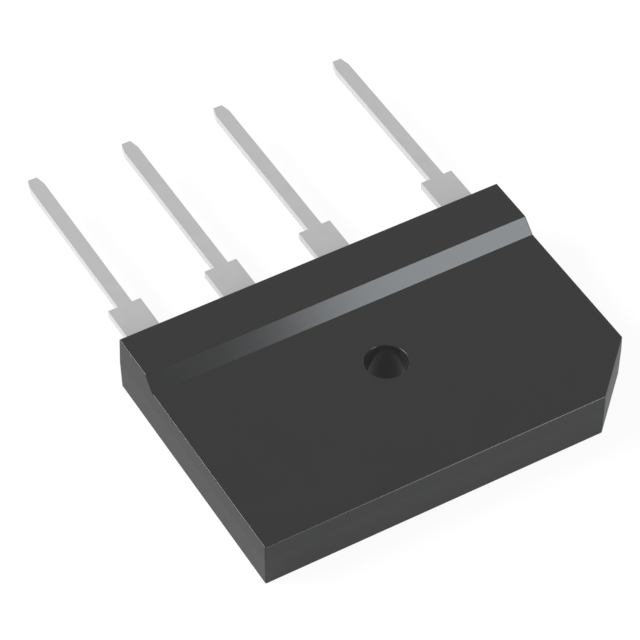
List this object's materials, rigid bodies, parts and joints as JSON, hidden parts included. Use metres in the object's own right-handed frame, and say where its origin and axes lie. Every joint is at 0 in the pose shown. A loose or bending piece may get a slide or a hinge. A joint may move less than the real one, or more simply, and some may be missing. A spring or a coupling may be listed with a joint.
{
  "type": "bridge rectifier",
  "caption": "Flat moulded power rectifier with a central screw hole, a thick strip along one edge, a cut corner and a row of flat stamped leads.",
  "frame": {"origin": "on the axis of the screw hole, at the flat back face", "axes": "+Z out of the stepped top face, along the screw hole; +Y towards the leads; +X towards the end with the cut corner, where the plus lead is"},
  "size_m": [0.03, 0.0381, 0.0047],
  "materials": {
    "moulding": "dark grey epoxy moulding compound, fine even texture, semi-matt",
    "tinned_lead": "tin-plated copper strip, satin, with faint rolling lines",
    "silicon": "silicon die with a glass-covered edge",
    "copper": "bare copper strip",
    "solder": "dull solder"
  },
  "bodies": {
    "root": {"moulded_body": "moulding", "lead_minus": "tinned_lead", "lead_ac_left": "tinned_lead", "lead_ac_right": "tinned_lead", "lead_plus": "tinned_lead", "die_plus_left": "silicon", "die_plus_right": "silicon", "die_minus_left": "silicon", "die_minus_right": "silicon", "clip_ac_left": "copper", "clip_ac_right": "copper", "clip_minus": "copper", "solder_under_die_plus_left": "solder", "solder_under_die_plus_right": "solder", "solder_under_die_minus_left": "solder", "solder_under_die_minus_right": "solder", "solder_on_die_plus_left": "solder", "solder_on_die_plus_right": "solder", "solder_on_die_minus_left": "solder", "solder_on_die_minus_right": "solder", "solder_under_clip_ac_left": "solder", "solder_under_clip_ac_right": "solder", "solder_under_clip_minus": "solder"}
  },
  "joints": []
}
